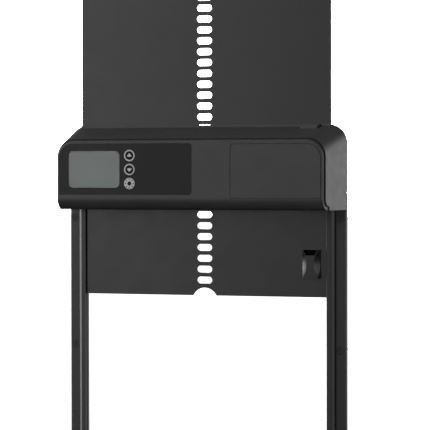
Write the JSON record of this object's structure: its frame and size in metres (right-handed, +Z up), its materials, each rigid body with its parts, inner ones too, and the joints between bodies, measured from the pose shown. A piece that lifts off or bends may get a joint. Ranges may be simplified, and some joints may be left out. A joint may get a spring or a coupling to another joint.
{
  "type": "automatic coop door",
  "caption": "Motorised sliding coop door: a slotted sheet panel runs between two wall rails under a battery control housing with display and keys.",
  "frame": {"origin": "centre of the rectangle of rail screws, on the wall face", "axes": "+Z up along the rails, front faces -Y, +Y into the wall, +X to the right seen from the front"},
  "size_m": [0.2788, 0.0675, 0.4874],
  "materials": {
    "graphite_plastic": "moulded, fine grain, satin",
    "black_plastic": "moulded, fine grain",
    "gasket_rubber": "soft, matt",
    "gloss_fascia": "polished overlay",
    "clear_window": "clear, polished",
    "lcd_glass": "grey-green display",
    "board_green": "solder mask",
    "chip_black": "moulded",
    "key_black": "printed with light rings and symbols",
    "switch_metal": "stamped",
    "cell_jacket": "printed jacket",
    "spring_metal": "nickel-plated",
    "zinc_screw": "zinc-plated",
    "black_screw": "black-coated steel",
    "motor_can": "drawn can",
    "gear_plastic": "acetal",
    "shaft_steel": "ground",
    "bush_brass": "turned",
    "lead_cover": "wire insulation",
    "rail_coat": "extruded, dark powder coat",
    "panel_coat": "sheet, dark powder coat",
    "pull_plastic": "moulded, satin"
  },
  "bodies": {
    "housing": {"rear_cover": "black_plastic", "housing_body": "graphite_plastic", "chassis": "graphite_plastic", "snap_tongue": "graphite_plastic", "front_gasket": "gasket_rubber", "front_cover": "graphite_plastic", "display_fascia": "gloss_fascia", "lcd_window": "clear_window", "lcd_module": "lcd_glass", "control_board": "board_green", "board_posts": "graphite_plastic", "board_screws": "zinc_screw", "board_chips": "chip_black", "lead_sockets": "gear_plastic", "tact_switches": "switch_metal", "battery_tray": "black_plastic", "batteries": "cell_jacket", "battery_contacts": "spring_metal", "battery_seal": "gasket_rubber", "motor": "motor_can", "gearbox": "motor_can", "motor_strap": "spring_metal", "strap_screws": "zinc_screw", "shaft_bushes": "bush_brass", "case_screws": "zinc_screw", "front_screws": "zinc_screw", "chassis_screws": "zinc_screw", "motor_leads": "lead_cover", "battery_leads": "lead_cover", "rail_screws": "black_screw", "rail_stops": "gasket_rubber", "left_rail": "rail_coat", "right_rail": "rail_coat"},
    "door": {"door_panel": "panel_coat", "finger_pull": "pull_plastic", "pull_rivets": "zinc_screw"},
    "drive": {"drive_sprocket": "gear_plastic", "drive_shaft": "shaft_steel", "drive_gear": "gear_plastic"},
    "motor_output": {"motor_gear": "gear_plastic", "motor_shaft": "shaft_steel"},
    "battery_lid": {"battery_cover": "graphite_plastic"},
    "up_key": {"up_button": "key_black"},
    "down_key": {"down_button": "key_black"},
    "set_key": {"set_button": "key_black"}
  },
  "joints": [
    {"name": "door_slide", "type": "slide", "parent": "housing", "child": "door", "axis": [0, 0, 1], "range_m": [-0.1762, 0.037]},
    {"name": "drive_turn", "type": "hinge", "parent": "housing", "child": "drive", "pos_m": [0, -0.0185, 0.1669], "axis": [1, 0, 0], "continuous": true},
    {"name": "motor_turn", "type": "hinge", "parent": "housing", "child": "motor_output", "pos_m": [0, -0.0294, 0.15412], "axis": [1, 0, 0], "continuous": true},
    {"name": "battery_lid_lift", "type": "slide", "parent": "housing", "child": "battery_lid", "axis": [0, -1, 0], "range_m": [0, 0.06]},
    {"name": "up_key_press", "type": "slide", "parent": "housing", "child": "up_key", "axis": [0, 1, 0], "range_m": [0, 0.0005], "stiffness_N_per_m": 900, "springref_m": -0.0006},
    {"name": "down_key_press", "type": "slide", "parent": "housing", "child": "down_key", "axis": [0, 1, 0], "range_m": [0, 0.0005], "stiffness_N_per_m": 900, "springref_m": -0.0006},
    {"name": "set_key_press", "type": "slide", "parent": "housing", "child": "set_key", "axis": [0, 1, 0], "range_m": [0, 0.0005], "stiffness_N_per_m": 900, "springref_m": -0.0006}
  ],
  "couplings": [
    {"joint": "drive_turn", "follows": "door_slide", "rad_per_m": 76.326},
    {"joint": "motor_turn", "follows": "door_slide", "rad_per_m": -101.77}
  ]
}
